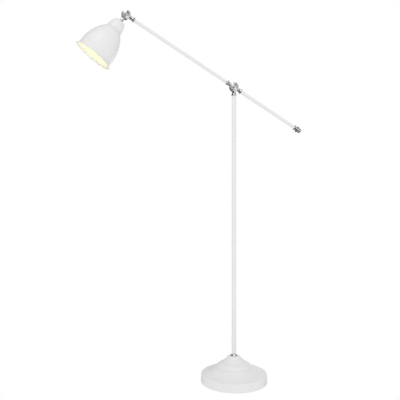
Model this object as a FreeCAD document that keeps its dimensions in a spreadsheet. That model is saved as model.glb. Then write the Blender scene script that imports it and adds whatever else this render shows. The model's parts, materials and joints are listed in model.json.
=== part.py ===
"""Adjustable arm floor lamp: a round weighted base, a tall pole, a counter-arm on a friction knuckle,
and a bell shade on a second knuckle. Millimetres, +Z up, origin at the centre of the base on the floor.
The arm lies in the XZ plane with its shade towards -X, and both knuckles turn about Y."""
import FreeCAD, Part
import math
import os
import re

import Sketcher

Vector = FreeCAD.Vector

# ---------------------------------------------------------------- driving dimensions
SIZES = {
    # fits
    "thrust_gap": 0.2,
    "running_gap": 0.05,
    # base
    "felt_height": 3,
    "felt_radius": 136,
    "felt_hole_radius": 6,
    "plate_top": 5,
    "plate_radius": 137,
    "ballast_radius": 105,
    "ballast_top": 25,
    "ballast_hub_radius": 18,
    "ballast_hub_top": 48,
    "ballast_edge_bend": 3,
    "ballast_hub_bend": 6,
    "ballast_bore_radius": 9,
    "ballast_bore_top": 23,
    "channel_width": 10,
    "channel_top": 19,
    "channel_overrun": 5,
    "plate_screw_radius": 2.5,
    "plate_screw_head_radius": 4.6,
    "plate_screw_head_height": 1.8,
    "plate_screw_depth": 12,
    "plate_screw_circle": 60,
    "plate_screw_angle": 45,
    "plate_screw_count": 4,
    # base cover, from the rim to the top
    "cover_wall": 1.5,
    "cover_rim_height": 1,
    "cover_radius": 140,
    "cover_shoulder_radius": 138.4,
    "cover_shoulder_height": 31,
    "cover_land_outer_radius": 133.5,
    "cover_land_height": 36,
    "cover_land_inner_radius": 114,
    "cover_slope_height": 40.6,
    "cover_shoulder_bend": 5,
    "cover_slope_bend": 190,
    "lower_ledge_radius": 80.5,
    "lower_ledge_height": 61.2,
    "lower_corner_radius": 75.5,
    "lower_corner_height": 62.6,
    "lower_riser_radius": 74.5,
    "lower_riser_height": 66.2,
    "lower_tier_bend": 55,
    "upper_ledge_radius": 50.5,
    "upper_ledge_height": 82.2,
    "upper_corner_radius": 46.5,
    "upper_corner_height": 83.2,
    "upper_riser_radius": 45.7,
    "upper_riser_height": 86.2,
    "upper_tier_bend": 40,
    "collar_foot_radius": 35,
    "collar_foot_height": 94.2,
    "collar_foot_bend": 9,
    "collar_top_radius": 30,
    "collar_top_height": 100,
    "cover_top_radius": 20,
    "cover_top_height": 108,
    "collar_bend": 13,
    # cable gland in the wall of the cover
    "gland_height": 15,
    "gland_hole_radius": 6,
    "gland_flange_radius": 8.5,
    "gland_flange_thickness": 3,
    "gland_flange_bend": 1.2,
    "gland_inner_face": 136.5,
    "gland_outer_face": 140.4,
    "gland_inner_end": 129,
    "gland_nose_length": 4,
    "gland_nose_wall": 2,
    "gland_bore_radius": 3.4,
    # pole and the parts that clamp it to the base
    "pole_radius": 9.5,
    "pole_bore_radius": 8.25,
    "pole_foot_height": 110,
    "nipple_radius": 6.5,
    "nipple_bore_radius": 4.4,
    "nipple_foot": 24,
    "nipple_top": 128,
    "foot_bush_top": 132,
    "foot_ferrule_radius": 13.8,
    "foot_ferrule_neck_radius": 10.6,
    "foot_ferrule_height": 7,
    "foot_ferrule_rim": 2,
    "foot_ferrule_lip": 1,
    "foot_ferrule_bend": 9,
    "lock_washer_radius": 13,
    "lock_washer_thickness": 1.5,
    "lock_nut_corner_radius": 11,
    "lock_nut_height": 6,
    "mains_wire_radius": 2.75,
    "mains_wire_bend": 12,
    "mains_wire_start": 124,
    "mains_wire_end_gap": 12,
    "inner_wire_radius": 2,
    # the two knuckles, measured from their pivots
    "pivot_height": 1243,
    "arm_length": 530.6,
    "arm_rise": 31.6,
    "shade_lean": 37.4,
    "disc_radius": 18.7,
    "disc_half_thickness": 9,
    "disc_gap": 0.45,
    "rim_bend": 1.6,
    "disc_recess_depth": 1.3,
    "disc_recess_outer_radius": 15.8,
    "disc_recess_slope": 1,
    "disc_hub_radius": 8,
    "chamber_radius": 13.5,
    "chamber_depth": 5.5,
    "chamber_boss_radius": 5,
    "screw_clearance_radius": 2.8,
    "thread_radius": 2.55,
    "thread_depth": 7.5,
    "washer_inner_radius": 14,
    "washer_outer_radius": 18.2,
    "washer_front": 0.4,
    # stems and swivels, as distances from the pivot
    "neck_start": 15,
    "neck_overlap": 0.4,
    "stem_start": 19.3,
    "stem_end": 20.5,
    "stem_radius": 6.5,
    "wire_bore_radius": 2.6,
    "wire_bore_start": 10,
    "bore_overrun": 1,
    "swivel_radius": 4.5,
    "clip_groove_radius": 3.7,
    "clip_thickness": 1,
    "clip_radius": 5.6,
    "swivel_end_margin": 2,
    "arm_tube_start": 27,
    "pole_tube_start": 31,
    "collar_end": 35.5,
    "swivel_bearing_end": 46,
    "collar_neck_radius": 7.4,
    "collar_neck_end": 22.5,
    "arm_flare_radius": 11.4,
    "head_collar_neck_end": 28.5,
    "head_collar_end": 39.5,
    "pole_neck_radius": 8.6,
    "pole_flare_radius": 12.3,
    "pole_collar_end": 36,
    "flare_lip": 1.2,
    "flare_bend": 16,
    # arm tubes
    "arm_radius": 7,
    "arm_bore_radius": 6,
    "arm_plug_end": 46,
    "wire_lead_in": 20,
    "wire_end_gap": 10,
    "tail_length": 316,
    "tail_plug_end": 306,
    "tail_collar_neck_radius": 7.2,
    "tail_collar_length": 8,
    "tail_collar_lap": 2,
    "knob_start": 326,
    "knob_waist_radius": 6.4,
    "knob_ring_radius": 12.8,
    "knob_ring_end": 330.5,
    "knob_slope_bend": 10,
    "knob_cap_start": 338,
    "knob_cap_radius": 9.6,
    "knob_edge": 343,
    "knob_edge_bend": 1,
    "knob_end": 348,
    "knob_stud_radius": 4,
    "knob_stud_gap": 2,
    # wing screws
    "screw_radius": 2.5,
    "screw_flange_radius": 5.2,
    "screw_hub_radius": 4,
    "screw_hub_bend": 1.5,
    "screw_point": 0.6,
    "screw_end_gap": 0.5,
    "spring_washer_thickness": 0.9,
    "spring_washer_slit": 0.8,
    "screw_flange_end": 11.6,
    "screw_hub_end": 17.5,
    "wing_root": 2.5,
    "wing_belly": 13,
    "wing_inner_height": 12,
    "wing_outer_height": 22,
    "wing_hub_height": 17,
    "wing_tip_bend": 5.2,
    "wing_valley_bend": 11,
    "wing_thickness": 2.4,
    "arm_wing_angle": -62,
    "head_wing_angle": -35,
    # shade, measured along its axis from the head pivot
    "shade_wall": 0.8,
    "cap_top": 36,
    "cap_shoulder_radius": 17,
    "cap_side_radius": 25.3,
    "cap_side_start": 45,
    "cap_rim_radius": 33.6,
    "cap_rim": 82,
    "cap_shoulder_bend": 10,
    "cap_side_bend": 95,
    "bell_top": 82.4,
    "bell_top_radius": 34.2,
    "bell_waist": 138,
    "bell_waist_radius": 65.9,
    "bell_upper_bend": 155,
    "bell_hip": 190,
    "bell_lower_bend": 151,
    "bell_skirt": 206,
    "bell_skirt_radius": 74.2,
    "bell_lip": 217.5,
    "bell_lip_radius": 81,
    "bell_lip_bend": 14,
    "bell_bead_radius": 1,
    "shade_collar_start": 25.5,
    "shade_collar_neck_radius": 7,
    "shade_collar_radius": 10.2,
    "shade_collar_bend": 16.3,
    "shade_stud_radius": 5,
    "shade_stud_end": 48,
    # lampholder and bulb, on the shade's axis
    "holder_top": 36.8,
    "holder_top_radius": 15,
    "holder_crown": 6,
    "holder_radius": 19.5,
    "holder_wall": 2.2,
    "holder_shoulder": 54,
    "holder_shoulder_bend": 39,
    "holder_flange": 80,
    "holder_flange_radius": 24.5,
    "holder_end": 96,
    "ring_radius": 26,
    "ring_height": 7,
    "ring_flange_thickness": 2,
    "ring_slope": 0.8,
    "ring_skirt_wall": 2.5,
    "insulator_top": 56,
    "insulator_bottom": 64,
    "socket_bore_radius": 13.9,
    "socket_sleeve_wall": 0.4,
    "sleeve_flange_thickness": 1,
    "sleeve_end_gap": 2,
    "contact_radius": 4,
    "contact_bottom": 66.4,
    "bulb_tip": 66.4,
    "bulb_tip_radius": 4.5,
    "bulb_tip_height": 2,
    "bulb_cap_end": 92,
    "bulb_cap_radius": 13.1,
    "bulb_cap_slope": 2.6,
    "bulb_cap_wall": 0.5,
    "bulb_neck_radius": 14.2,
    "bulb_cheek": 112,
    "bulb_cheek_radius": 20.5,
    "bulb_globe_centre": 141,
    "bulb_globe_radius": 30,
    "bulb_neck_bend": 48,
    "bulb_cheek_bend": 57,
    "glass_wall": 0.8,
}

doc = FreeCAD.newDocument("arm_floor_lamp")
sheet = doc.addObject("Spreadsheet::Sheet", "dims")
for row, (alias, value) in enumerate(SIZES.items(), start=1):
    sheet.set("A%d" % row, alias)
    sheet.set("B%d" % row, str(value))
    sheet.setAlias("B%d" % row, alias)
doc.recompute()


# ---------------------------------------------------------------- small helpers
def in_sheet(words):
    """The expression with every alias written as a reference to the sheet."""
    return re.sub(r"[a-z_]+", lambda word: "dims." + word[0] if word[0] in SIZES else word[0], str(words))


def size(words):
    """The present value of an expression."""
    return float(sheet.evalExpression(in_sheet(words)))


def origin_plane(body, role):
    return next(item for item in body.Origin.OriginFeatures if item.Role == role)


def new_sketch(body, plane, offset="0"):
    """A sketch on one of the body's own origin planes, moved along the plane's normal by offset."""
    sketch = body.newObject("Sketcher::SketchObject", body.Name + "_sketch")
    sketch.AttachmentSupport = [(origin_plane(body, plane), "")]
    sketch.MapMode = "FlatFace"
    sketch.setExpression("AttachmentOffset.Base.z", in_sheet(offset))
    return sketch


def drive(sketch, constraint, words):
    """Adds a dimension to the sketch and binds it to the sheet."""
    index = sketch.addConstraint(Sketcher.Constraint(*constraint, size(words)))
    sketch.setExpression("Constraints[%d]" % index, in_sheet(words))


def edge_between(start, end, radius):
    """A line, or an arc that turns left (radius above 0) or right (radius below 0)."""
    if not radius:
        return Part.LineSegment(start, end)
    chord = end - start
    left = Vector(-chord.y, chord.x, 0).normalize()
    reach = math.sqrt(radius * radius - chord.Length * chord.Length / 4)
    centre = (start + end) / 2 + left * math.copysign(reach, radius)
    first, last = (start, end) if radius > 0 else (end, start)
    turn_from = math.atan2(first.y - centre.y, first.x - centre.x)
    turn_to = math.atan2(last.y - centre.y, last.x - centre.x)
    if turn_to < turn_from:
        turn_to += 2 * math.pi
    return Part.ArcOfCircle(Part.Circle(centre, Vector(0, 0, 1), abs(radius)), turn_from, turn_to)


def left(radius):
    """The edge that arrives at a corner is an arc that turns left."""
    return 1, radius


def right(radius):
    """The edge that arrives at a corner is an arc that turns right."""
    return -1, radius


def outline(sketch, corners, closed=True):
    """Draws the corners in order: (x, y), or (x, y, left(radius)) or (x, y, right(radius))."""
    places = [Vector(size(corner[0]), size(corner[1]), 0) for corner in corners]
    bends = [corner[2] if len(corner) > 2 else (1, "0") for corner in corners]
    count = len(corners)
    ends = []
    for index in range(1, count + 1 if closed else count):
        turn, radius = bends[index % count]
        start, end = places[index - 1], places[index % count]
        edge = sketch.addGeometry(edge_between(start, end, turn * size(radius)), False)
        ends.append((edge, 1, 2) if turn > 0 else (edge, 2, 1))
        if radius != "0":
            drive(sketch, ("Radius", edge), radius)
    for this, following in zip(ends, ends[1:] + ends[:1] if closed else ends[1:]):
        sketch.addConstraint(Sketcher.Constraint("Coincident", this[0], this[2], following[0], following[1]))
    starts = [(edge, vertex) for edge, vertex, _ in ends]
    if not closed:
        starts.append((ends[-1][0], ends[-1][2]))
    for (edge, vertex), corner in zip(starts, corners):
        drive(sketch, ("DistanceX", -1, 1, edge, vertex), corner[0])
        drive(sketch, ("DistanceY", -1, 1, edge, vertex), corner[1])


def circle(sketch, x, y, radius):
    index = sketch.addGeometry(Part.Circle(Vector(size(x), size(y), 0), Vector(0, 0, 1), size(radius)), False)
    drive(sketch, ("DistanceX", -1, 1, index, 3), x)
    drive(sketch, ("DistanceY", -1, 1, index, 3), y)
    drive(sketch, ("Radius", index), radius)


def new_body(label):
    body = doc.addObject("PartDesign::Body", label)
    body.Label = label
    return body


def turned(body, corners, plane="XZ_Plane", cut=False):
    """Turns an outline of (radius, height) corners about the sketch's vertical axis."""
    sketch = new_sketch(body, plane)
    outline(sketch, corners)
    feature = body.newObject("PartDesign::Groove" if cut else "PartDesign::Revolution", body.Name + "_turned")
    feature.Profile = sketch
    feature.ReferenceAxis = (sketch, ["V_Axis"])
    feature.Angle = 360
    return feature


def pocket_through(body, sketch):
    feature = body.newObject("PartDesign::Pocket", body.Name + "_pocket")
    feature.Profile = sketch
    feature.Type = "ThroughAll"
    feature.SideType = "Symmetric"
    return feature


def pad(body, sketch, length, symmetric=False):
    feature = body.newObject("PartDesign::Pad", body.Name + "_pad")
    feature.Profile = sketch
    feature.setExpression("Length", in_sheet(length))
    feature.SideType = "Symmetric" if symmetric else "One side"
    return feature


def repeat_around(body, feature, count):
    """Repeats a feature around the body's Z axis."""
    pattern = body.newObject("PartDesign::PolarPattern", body.Name + "_pattern")
    pattern.Originals = [feature]
    pattern.Axis = (next(item for item in body.Origin.OriginFeatures if item.Role == "Z_Axis"), [""])
    pattern.Angle = 360
    pattern.setExpression("Occurrences", in_sheet(count))
    body.Tip = pattern
    return pattern


# ---------------------------------------------------------------- where the groups sit
ARM_TURN = "arm_rise - 90"
SHADE_TURN = "180 + shade_lean"


def place(body, at_head=False, turn="0"):
    """Puts a body's own Z axis along the arm or the shade: turn is about Y, through a pivot."""
    if at_head:
        body.setExpression("Placement.Base.x", in_sheet("-arm_length * cos(arm_rise)"))
        body.setExpression("Placement.Base.z", in_sheet("pivot_height + arm_length * sin(arm_rise)"))
    else:
        body.setExpression("Placement.Base.z", in_sheet("pivot_height"))
    body.Placement.Rotation = FreeCAD.Rotation(Vector(0, 1, 0), size(turn))
    body.setExpression("Placement.Rotation.Angle", in_sheet(turn))


# ---------------------------------------------------------------- base
PLATE_SCREW = ("plate_screw_circle * cos(plate_screw_angle)", "plate_screw_circle * sin(plate_screw_angle)")


def base_felt():
    """Felt glued under the plate, with a hole over each screw: it is what touches the floor."""
    body = new_body("base_felt")
    turned(body, [
        ("0", "0"),
        ("felt_radius", "0"),
        ("felt_radius", "felt_height"),
        ("0", "felt_height")])
    sketch = new_sketch(body, "XY_Plane")
    circle(sketch, *PLATE_SCREW, "felt_hole_radius")
    repeat_around(body, pocket_through(body, sketch), "plate_screw_count")


def base_plate():
    """Steel disc that closes the base, with holes for its screws."""
    body = new_body("base_plate")
    turned(body, [
        ("0", "felt_height"),
        ("plate_radius", "felt_height"),
        ("plate_radius", "plate_top"),
        ("0", "plate_top")])
    sketch = new_sketch(body, "XY_Plane")
    circle(sketch, *PLATE_SCREW, "plate_screw_radius")
    repeat_around(body, pocket_through(body, sketch), "plate_screw_count")


def base_plate_screws():
    """Pan-head screws up through the plate into the ballast, heads in the felt's holes."""
    body = new_body("base_plate_screws")
    body.AllowCompound = True
    head = new_sketch(body, "XY_Plane", "felt_height - plate_screw_head_height")
    circle(head, *PLATE_SCREW, "plate_screw_head_radius")
    head_pad = pad(body, head, "plate_screw_head_height")
    shank = new_sketch(body, "XY_Plane", "felt_height")
    circle(shank, *PLATE_SCREW, "plate_screw_radius")
    shank_pad = pad(body, shank, "plate_screw_depth")
    pattern = repeat_around(body, head_pad, "plate_screw_count")
    pattern.Originals = [head_pad, shank_pad]


def base_ballast():
    """Cast weight with a threaded hub, a bore for the cable's bend, and a channel under it."""
    body = new_body("base_ballast")
    turned(body, [
        ("ballast_bore_radius", "plate_top"),
        ("ballast_radius", "plate_top"),
        ("ballast_radius", "ballast_top - ballast_edge_bend"),
        ("ballast_radius - ballast_edge_bend", "ballast_top", left("ballast_edge_bend")),
        ("ballast_hub_radius + ballast_hub_bend", "ballast_top"),
        ("ballast_hub_radius", "ballast_top + ballast_hub_bend", right("ballast_hub_bend")),
        ("ballast_hub_radius", "ballast_hub_top"),
        ("nipple_radius", "ballast_hub_top"),
        ("nipple_radius", "ballast_bore_top"),
        ("ballast_bore_radius", "ballast_bore_top")])
    channel = new_sketch(body, "XY_Plane", "plate_top")
    outline(channel, [
        ("-channel_width / 2", "0"),
        ("channel_width / 2", "0"),
        ("channel_width / 2", "ballast_radius + channel_overrun"),
        ("-channel_width / 2", "ballast_radius + channel_overrun")])
    cut = body.newObject("PartDesign::Pocket", "ballast_channel")
    cut.Profile = channel
    cut.Reversed = True
    cut.setExpression("Length", in_sheet("channel_top - plate_top"))
    holes = new_sketch(body, "XY_Plane", "plate_top")
    circle(holes, *PLATE_SCREW, "plate_screw_radius")
    drilled = body.newObject("PartDesign::Pocket", "ballast_holes")
    drilled.Profile = holes
    drilled.Reversed = True
    drilled.setExpression("Length", in_sheet("plate_screw_depth"))
    repeat_around(body, drilled, "plate_screw_count")


def base_cover():
    """Spun steel cover: low wall, flat land, two raised tiers and a collar for the pole."""
    body = new_body("base_cover")
    turned(body, [
        ("cover_radius - cover_wall", "cover_rim_height"),
        ("cover_radius", "cover_rim_height"),
        ("cover_shoulder_radius", "cover_shoulder_height"),
        ("cover_land_outer_radius", "cover_land_height", left("cover_shoulder_bend")),
        ("cover_land_inner_radius", "cover_slope_height"),
        ("lower_ledge_radius", "lower_ledge_height", right("cover_slope_bend")),
        ("lower_corner_radius", "lower_corner_height"),
        ("lower_riser_radius", "lower_riser_height"),
        ("upper_ledge_radius", "upper_ledge_height", left("lower_tier_bend")),
        ("upper_corner_radius", "upper_corner_height"),
        ("upper_riser_radius", "upper_riser_height"),
        ("collar_foot_radius", "collar_foot_height", left("upper_tier_bend")),
        ("collar_top_radius", "collar_top_height", right("collar_foot_bend")),
        ("cover_top_radius", "cover_top_height", left("collar_bend")),
        ("nipple_radius", "cover_top_height"),
        ("nipple_radius", "cover_top_height - cover_wall"),
        ("cover_top_radius - cover_wall / 2", "cover_top_height - cover_wall"),
        ("collar_top_radius - cover_wall", "collar_top_height", right("collar_bend - cover_wall")),
        ("collar_foot_radius - cover_wall", "collar_foot_height - cover_wall",
         left("collar_foot_bend + cover_wall")),
        ("upper_riser_radius - cover_wall", "upper_riser_height - cover_wall", right("upper_tier_bend")),
        ("upper_corner_radius - cover_wall", "upper_corner_height - cover_wall"),
        ("upper_ledge_radius - cover_wall / 2", "upper_ledge_height - cover_wall"),
        ("lower_riser_radius - cover_wall", "lower_riser_height - cover_wall", right("lower_tier_bend")),
        ("lower_corner_radius - cover_wall", "lower_corner_height - cover_wall"),
        ("lower_ledge_radius - cover_wall / 2", "lower_ledge_height - cover_wall"),
        ("cover_land_inner_radius", "cover_slope_height - cover_wall", left("cover_slope_bend + cover_wall")),
        ("cover_land_outer_radius", "cover_land_height - cover_wall"),
        ("cover_shoulder_radius - cover_wall", "cover_shoulder_height",
         right("cover_shoulder_bend - cover_wall"))])
    hole = new_sketch(body, "XZ_Plane")
    circle(hole, "0", "gland_height", "gland_hole_radius")
    bored = body.newObject("PartDesign::Pocket", "cover_cable_hole")
    bored.Profile = hole
    bored.Type = "ThroughAll"


def base_lock_washer():
    """Washer under the cover's top."""
    body = new_body("base_lock_washer")
    top = "cover_top_height - cover_wall"
    turned(body, [
        ("nipple_radius", top + " - lock_washer_thickness"),
        ("lock_washer_radius", top + " - lock_washer_thickness"),
        ("lock_washer_radius", top),
        ("nipple_radius", top)])


def base_lock_nut():
    """Hexagonal nut that clamps the cover between itself and the pole."""
    body = new_body("base_lock_nut")
    foot = "cover_top_height - cover_wall - lock_washer_thickness - lock_nut_height"
    sketch = new_sketch(body, "XY_Plane", foot)
    angles = range(0, 360, 60)
    outline(sketch, [
        ("lock_nut_corner_radius * cos(%d)" % angle, "lock_nut_corner_radius * sin(%d)" % angle)
        for angle in angles])
    circle(sketch, "0", "0", "nipple_radius")
    pad(body, sketch, "lock_nut_height")


def cable_gland():
    """Rubber bush in the back of the cover, with the bore that the mains cable enters by."""
    body = new_body("cable_gland")
    rim = "gland_outer_face + gland_flange_thickness"
    turned(body, [
        ("gland_bore_radius", "gland_inner_end"),
        ("gland_flange_radius", "gland_inner_end"),
        ("gland_flange_radius", "gland_inner_face"),
        ("gland_hole_radius", "gland_inner_face"),
        ("gland_hole_radius", "gland_outer_face"),
        ("gland_flange_radius", "gland_outer_face"),
        ("gland_flange_radius", rim + " - gland_flange_bend"),
        ("gland_flange_radius - gland_flange_bend", rim, left("gland_flange_bend")),
        ("gland_bore_radius + gland_nose_wall", rim + " + gland_nose_length"),
        ("gland_bore_radius", rim + " + gland_nose_length")],
        plane="XY_Plane")
    body.setExpression("Placement.Base.z", in_sheet("gland_height"))


# ---------------------------------------------------------------- pole
def pole_nipple():
    """Threaded tube through the base: it ties the ballast, the cover and the pole together."""
    body = new_body("pole_nipple")
    turned(body, [
        ("nipple_bore_radius", "nipple_foot"),
        ("nipple_radius", "nipple_foot"),
        ("nipple_radius", "nipple_top"),
        ("nipple_bore_radius", "nipple_top")])


def pole_foot_bush():
    """Threaded bush in the pole's lower end, with a flange that the tube stands on."""
    body = new_body("pole_foot_bush")
    turned(body, [
        ("nipple_radius", "cover_top_height"),
        ("pole_radius", "cover_top_height"),
        ("pole_radius", "pole_foot_height"),
        ("pole_bore_radius", "pole_foot_height"),
        ("pole_bore_radius", "foot_bush_top"),
        ("nipple_radius", "foot_bush_top")])


def pole_foot_ferrule():
    """Bright trumpet ring around the foot of the pole."""
    body = new_body("pole_foot_ferrule")
    top = "cover_top_height + foot_ferrule_height"
    turned(body, [
        ("pole_radius", "cover_top_height"),
        ("foot_ferrule_radius", "cover_top_height"),
        ("foot_ferrule_radius", "cover_top_height + foot_ferrule_rim"),
        ("foot_ferrule_neck_radius", top + " - foot_ferrule_lip", right("foot_ferrule_bend")),
        ("foot_ferrule_neck_radius", top),
        ("pole_radius", top)])


def pole_tube():
    body = new_body("pole_tube")
    top = "pivot_height - pole_tube_start"
    turned(body, [
        ("pole_bore_radius", "pole_foot_height"),
        ("pole_radius", "pole_foot_height"),
        ("pole_radius", top),
        ("pole_bore_radius", top)])


def pole_wire():
    """Mains lead inside the stand: in at the gland, along the ballast's channel, and up the pole."""
    body = new_body("pole_wire")
    spine = new_sketch(body, "YZ_Plane")
    outline(spine, [
        ("mains_wire_start", "gland_height"),
        ("mains_wire_bend", "gland_height"),
        ("0", "gland_height + mains_wire_bend", right("mains_wire_bend")),
        ("0", "pivot_height - swivel_bearing_end - mains_wire_end_gap")], closed=False)
    section = new_sketch(body, "XZ_Plane", "-mains_wire_start")
    circle(section, "0", "gland_height", "mains_wire_radius")
    pipe = body.newObject("PartDesign::AdditivePipe", "pole_wire_pipe")
    pipe.Profile = section
    pipe.Spine = (spine, ["Edge1", "Edge2", "Edge3"])


# ---------------------------------------------------------------- knuckles
def swivel_collar(label, tube, neck_radius, flare_radius, neck_end, end, at_head):
    """Trumpet collar on the end of a tube, with a plug inside the tube that a swivel turns in.
    tube names the tube whose radii it fits. Local heights are distances from the pivot, along minus Z."""
    body = new_body(label)
    turned(body, [
        ("swivel_radius + running_gap", "-swivel_bearing_end"),
        ("swivel_radius + running_gap", "-stem_end - thrust_gap"),
        (neck_radius, "-stem_end - thrust_gap"),
        (neck_radius, "-%s" % neck_end),
        (flare_radius, "-%s + flare_lip" % end, left("flare_bend")),
        (flare_radius, "-%s" % end),
        (tube + "_radius", "-%s" % end),
        (tube + "_radius", "-%s_tube_start" % tube),
        (tube + "_bore_radius", "-%s_tube_start" % tube),
        (tube + "_bore_radius", "-swivel_bearing_end")])
    place(body, at_head=at_head, turn=ARM_TURN if at_head else "0")


def swivel_clip(label, at_head):
    """Retaining ring in the swivel's groove, under the collar's plug."""
    body = new_body(label)
    top = "-swivel_bearing_end - thrust_gap"
    turned(body, [
        ("clip_groove_radius", top + " - clip_thickness"),
        ("clip_radius", top + " - clip_thickness"),
        ("clip_radius", top),
        ("clip_groove_radius", top)])
    place(body, at_head=at_head, turn=ARM_TURN if at_head else "0")


def disc_half(body, side, threaded):
    """Half of a knuckle disc, turned about Y: rim, recess and hub outside, wire chamber inside.
    side is -1 for the front half and 1 for the rear half."""
    def out(words):
        return "%d * (%s)" % (side, words)

    bore = "thread_radius" if threaded else "screw_clearance_radius"
    rim = left("rim_bend") if side > 0 else right("rim_bend")
    outer_face = "disc_half_thickness"
    corners = [
        ("chamber_boss_radius", out("disc_gap")),
        ("chamber_boss_radius", out("chamber_depth")),
        ("chamber_radius", out("chamber_depth")),
        ("chamber_radius", out("disc_gap")),
        ("disc_radius", out("disc_gap")),
        ("disc_radius", out(outer_face + " - rim_bend")),
        ("disc_radius - rim_bend", out(outer_face), rim),
        ("disc_recess_outer_radius", out(outer_face)),
        ("disc_recess_outer_radius - disc_recess_slope", out(outer_face + " - disc_recess_depth")),
        ("disc_hub_radius + disc_recess_slope", out(outer_face + " - disc_recess_depth")),
        ("disc_hub_radius", out(outer_face))]
    if threaded:
        corners += [
            ("0", out(outer_face)),
            ("0", out("thread_depth")),
            (bore, out("thread_depth")),
            (bore, out("disc_gap"))]
    else:
        corners += [
            (bore, out(outer_face)),
            (bore, out("disc_gap"))]
    turned(body, corners, plane="XY_Plane")


def stem_neck(body, side, direction):
    """Half-round bridge from the disc half to the full-round stem, clear of the other half."""
    start = "neck_start" if direction > 0 else "-stem_start - neck_overlap"
    sketch = new_sketch(body, "XY_Plane", start)
    reach = "sqrt(stem_radius * stem_radius - disc_gap * disc_gap)"
    bend = left("stem_radius") if side > 0 else right("stem_radius")
    outline(sketch, [
        (reach, "%d * disc_gap" % side),
        ("0", "%d * stem_radius" % side, bend),
        ("-" + reach, "%d * disc_gap" % side, bend)])
    pad(body, sketch, "stem_start + neck_overlap - neck_start")


def stem(body, direction, spigot_radius, spigot_end, groove=False):
    """Full-round stem and spigot, turned about Z, with the wire's bore down its middle."""
    def along(words):
        return "%d * (%s)" % (direction, words)

    corners = [
        ("0", along("stem_start")),
        ("stem_radius", along("stem_start")),
        ("stem_radius", along("stem_end")),
        (spigot_radius, along("stem_end"))]
    if groove:
        groove_start = "swivel_bearing_end + thrust_gap"
        corners += [
            (spigot_radius, along(groove_start)),
            ("clip_groove_radius", along(groove_start)),
            ("clip_groove_radius", along(groove_start + " + clip_thickness")),
            (spigot_radius, along(groove_start + " + clip_thickness"))]
    corners += [
        (spigot_radius, along(spigot_end)),
        ("0", along(spigot_end))]
    turned(body, corners)
    turned(body, [
        ("0", along("wire_bore_start")),
        ("wire_bore_radius", along("wire_bore_start")),
        ("wire_bore_radius", along(spigot_end + " + bore_overrun")),
        ("0", along(spigot_end + " + bore_overrun"))], cut=True)


SWIVEL_END = "swivel_bearing_end + thrust_gap + clip_thickness + swivel_end_margin"


def pole_knuckle():
    """Front disc half of the arm joint: its spigot swivels in the top of the pole."""
    body = new_body("pole_knuckle")
    disc_half(body, side=-1, threaded=False)
    stem_neck(body, side=-1, direction=-1)
    stem(body, -1, "swivel_radius", SWIVEL_END, groove=True)
    place(body)


def arm_knuckle():
    """Rear disc half of the arm joint, with a stem for each of the two arm tubes."""
    body = new_body("arm_knuckle")
    disc_half(body, side=1, threaded=True)
    for direction in (1, -1):
        stem_neck(body, side=1, direction=direction)
        stem(body, direction, "arm_bore_radius", "arm_plug_end")
    place(body, turn=ARM_TURN)


def head_knuckle_arm_half():
    """Rear disc half of the shade joint: its spigot swivels in the end of the arm."""
    body = new_body("head_knuckle_arm_half")
    disc_half(body, side=1, threaded=True)
    stem_neck(body, side=1, direction=-1)
    stem(body, -1, "swivel_radius", SWIVEL_END, groove=True)
    place(body, at_head=True, turn=ARM_TURN)


def head_knuckle_shade_half():
    """Front disc half of the shade joint: its threaded stud carries the shade and lampholder."""
    body = new_body("head_knuckle_shade_half")
    disc_half(body, side=-1, threaded=False)
    stem_neck(body, side=-1, direction=1)
    stem(body, 1, "shade_stud_radius", "shade_stud_end")
    place(body, at_head=True, turn=SHADE_TURN)


def friction_washer(label, at_head):
    """Fibre ring between the two disc halves; it lies against the rear half."""
    body = new_body(label)
    turned(body, [
        ("washer_inner_radius", "-washer_front"),
        ("washer_outer_radius", "-washer_front"),
        ("washer_outer_radius", "disc_gap"),
        ("washer_inner_radius", "disc_gap")], plane="XY_Plane")
    place(body, at_head=at_head, turn=ARM_TURN)


def spring_washer(label, at_head, turn):
    """Washer under the wing screw's flange, with a slit as a split spring washer has."""
    body = new_body(label)
    face = "-disc_half_thickness - running_gap"
    turned(body, [
        ("screw_radius", face),
        ("screw_flange_radius", face),
        ("screw_flange_radius", face + " - spring_washer_thickness"),
        ("screw_radius", face + " - spring_washer_thickness")], plane="XY_Plane")
    slit = new_sketch(body, "XZ_Plane")
    outline(slit, [
        ("-spring_washer_slit / 2", "0"),
        ("spring_washer_slit / 2", "0"),
        ("spring_washer_slit / 2", "screw_flange_radius + bore_overrun"),
        ("-spring_washer_slit / 2", "screw_flange_radius + bore_overrun")])
    pocket_through(body, slit)
    place(body, at_head=at_head, turn=turn)


def wing_screw(label, at_head, turn):
    """Thumb screw with two ears: it clamps the disc halves together."""
    body = new_body(label)
    seat = "-disc_half_thickness - running_gap - spring_washer_thickness"
    screw_end = "thread_depth - screw_end_gap"
    turned(body, [
        ("0", screw_end),
        ("screw_radius - screw_point", screw_end),
        ("screw_radius", screw_end + " - screw_point"),
        ("screw_radius", seat),
        ("screw_flange_radius", seat),
        ("screw_flange_radius", "-screw_flange_end"),
        ("screw_hub_radius", "-screw_flange_end"),
        ("screw_hub_radius", "-screw_hub_end + screw_hub_bend"),
        ("screw_hub_radius - screw_hub_bend", "-screw_hub_end", right("screw_hub_bend")),
        ("0", "-screw_hub_end")], plane="XY_Plane")
    for ear in (1, -1):
        sketch = new_sketch(body, "XY_Plane")
        tip, valley = (right, left) if ear > 0 else (left, right)
        outline(sketch, [
            ("%d * wing_root" % ear, "-wing_inner_height"),
            ("%d * wing_belly" % ear, "-wing_inner_height"),
            ("%d * wing_belly" % ear, "-wing_outer_height", tip("wing_tip_bend")),
            ("%d * wing_root" % ear, "-wing_hub_height", valley("wing_valley_bend"))])
        pad(body, sketch, "wing_thickness", symmetric=True)
    place(body, at_head=at_head, turn=turn)


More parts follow.
